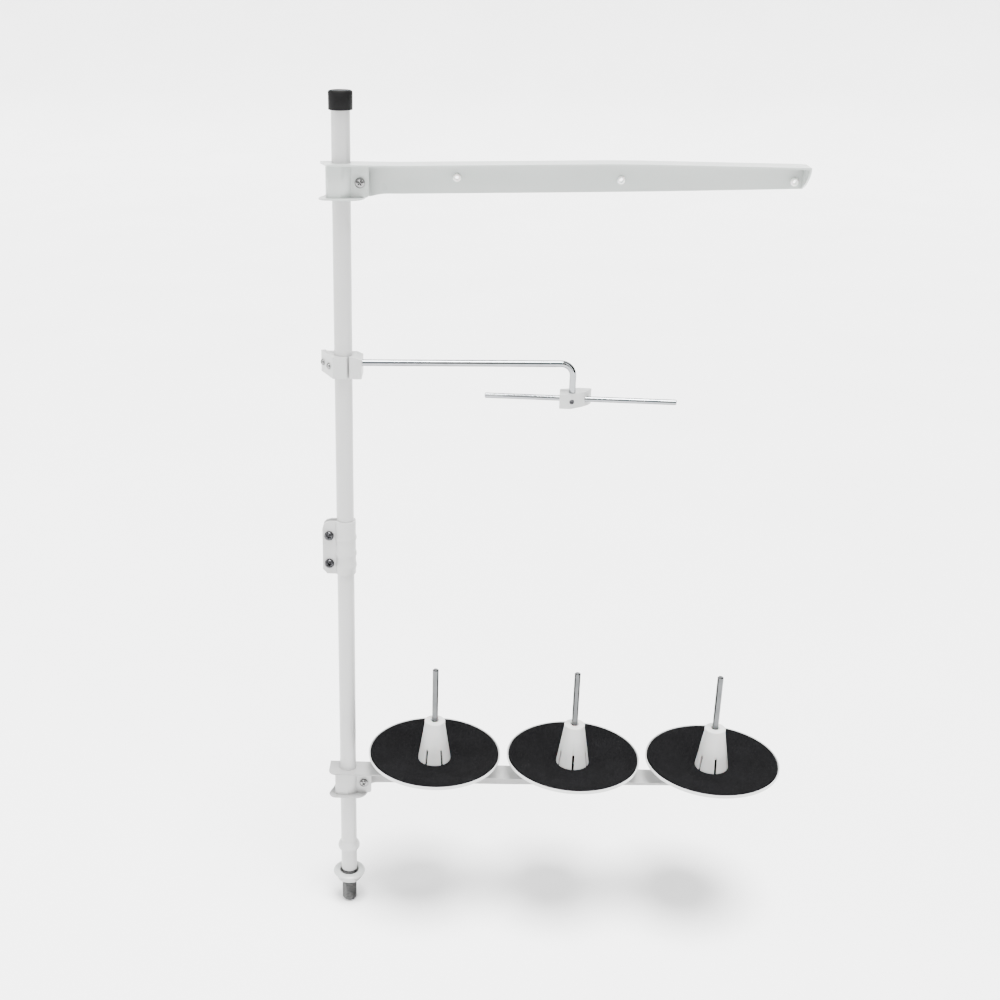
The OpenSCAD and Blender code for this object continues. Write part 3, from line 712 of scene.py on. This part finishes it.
def floor():
    bm = bmesh.new()
    z = STUD_END - 1.0 * MM
    n = 24
    s = 9.0
    grid = [[bm.verts.new((-s + 2 * s * i / n, -4.0 + 13.0 * j / n, z + (0.0 if j < 18 else 0.25 * (j - 18) ** 2))) for j in range(n + 1)] for i in range(n + 1)]
    for i in range(n):
        for j in range(n):
            bm.faces.new((grid[i][j], grid[i + 1][j], grid[i + 1][j + 1], grid[i][j + 1]))
    m, t, p = new_mat("floor_white")
    g = tex_noise(t, 3.0, 2.0)
    c = ramp(t, g.outputs["Fac"], [(0.3, (0.90, 0.90, 0.90, 1)), (0.7, (0.93, 0.93, 0.93, 1))])
    t.links.new(c.outputs["Color"], p.inputs["Base Color"])
    p.inputs["Roughness"].default_value = 0.9
    p.inputs["Specular IOR Level"].default_value = 0.1
    o = finish_obj("floor", bm, m, None)


floor()

# ---------------------------------------------------------------- camera

YAW, PITCH, ROLL = math.radians(-2.107), math.radians(23.009), math.radians(0.504)
fwd = Vector((math.sin(YAW) * math.cos(PITCH), math.cos(YAW) * math.cos(PITCH), -math.sin(PITCH)))
right0 = Vector((math.cos(YAW), -math.sin(YAW), 0))
up0 = right0.cross(fwd)
right = math.cos(ROLL) * right0 + math.sin(ROLL) * up0
up = -math.sin(ROLL) * right0 + math.cos(ROLL) * up0
cam = bpy.data.objects.new("camera", bpy.data.cameras.new("camera"))
bpy.context.scene.collection.objects.link(cam)
cam.matrix_world = Matrix((
    (right.x, up.x, -fwd.x, 0.10579),
    (right.y, up.y, -fwd.y, -1.17545),
    (right.z, up.z, -fwd.z, 0.84926),
    (0, 0, 0, 1)))
cam.data.sensor_width = 36.0
cam.data.lens = 1377.86 / 1000 * 36
cam.data.shift_x = 0.0873
cam.data.shift_y = 0.0350
cam.data.clip_start = 0.02
cam.data.clip_end = 60
bpy.context.scene.camera = cam

# ---------------------------------------------------------------- light


def area(name, at, aim, size, power, col=(1, 1, 1), size_y=None):
    d = bpy.data.lights.new(name, "AREA")
    d.energy = power
    d.color = col
    d.shape = "RECTANGLE"
    d.size = size
    d.size_y = size_y or size
    o = bpy.data.objects.new(name, d)
    bpy.context.scene.collection.objects.link(o)
    o.location = at
    o.rotation_euler = (Vector(aim) - Vector(at)).to_track_quat("-Z", "Y").to_euler()
    return o


area("front_box", (-0.55, -2.3, 1.5), (0.1, 0, 0.4), 0.9, 30, size_y=1.5)
area("strip_right", (1.25, -1.35, 1.0), (0.1, 0, 0.4), 0.16, 12, size_y=1.9)
area("left_box", (-2.0, -0.3, 1.1), (0.1, 0, 0.4), 0.8, 32, size_y=1.8)

sun = bpy.data.lights.new("sun", "SUN")
sun.energy = 13.0
sun.angle = 0.45
so = bpy.data.objects.new("sun", sun)
bpy.context.scene.collection.objects.link(so)
so.rotation_euler = Vector((-0.08, 0.17, -1.0)).to_track_quat("-Z", "Y").to_euler()

w = bpy.data.worlds.new("studio")
w.use_nodes = True
bpy.context.scene.world = w
t = w.node_tree
bg = t.nodes["Background"]
co = t.nodes.new("ShaderNodeTexCoord")
sep = t.nodes.new("ShaderNodeSeparateXYZ")
t.links.new(co.outputs["Generated"], sep.inputs[0])
# a dim room round the set, and a bright ceiling
up_r = ramp(t, sep.outputs["Z"], [(0.0, (0.30, 0.30, 0.30, 1)), (0.34, (0.22, 0.22, 0.22, 1)), (0.58, (1.0, 1.0, 1.0, 1))])
mr = t.nodes.new("ShaderNodeMapRange")
mr.inputs["From Min"].default_value = -1
mr.inputs["From Max"].default_value = 1
t.links.new(sep.outputs["X"], mr.inputs["Value"])
side = ramp(t, mr.outputs["Result"], [(0.0, (1.0, 1.0, 1.0, 1)), (0.5, (0.85, 0.85, 0.85, 1)), (0.78, (0.30, 0.30, 0.30, 1))])
mx = n_new(t, "ShaderNodeMixRGB", blend_type="MULTIPLY")
mx.inputs["Fac"].default_value = 1.0
t.links.new(up_r.outputs["Color"], mx.inputs["Color1"])
t.links.new(side.outputs["Color"], mx.inputs["Color2"])
t.links.new(mx.outputs["Color"], bg.inputs["Color"])
bg.inputs["Strength"].default_value = 2.0

bpy.context.view_layer.update()
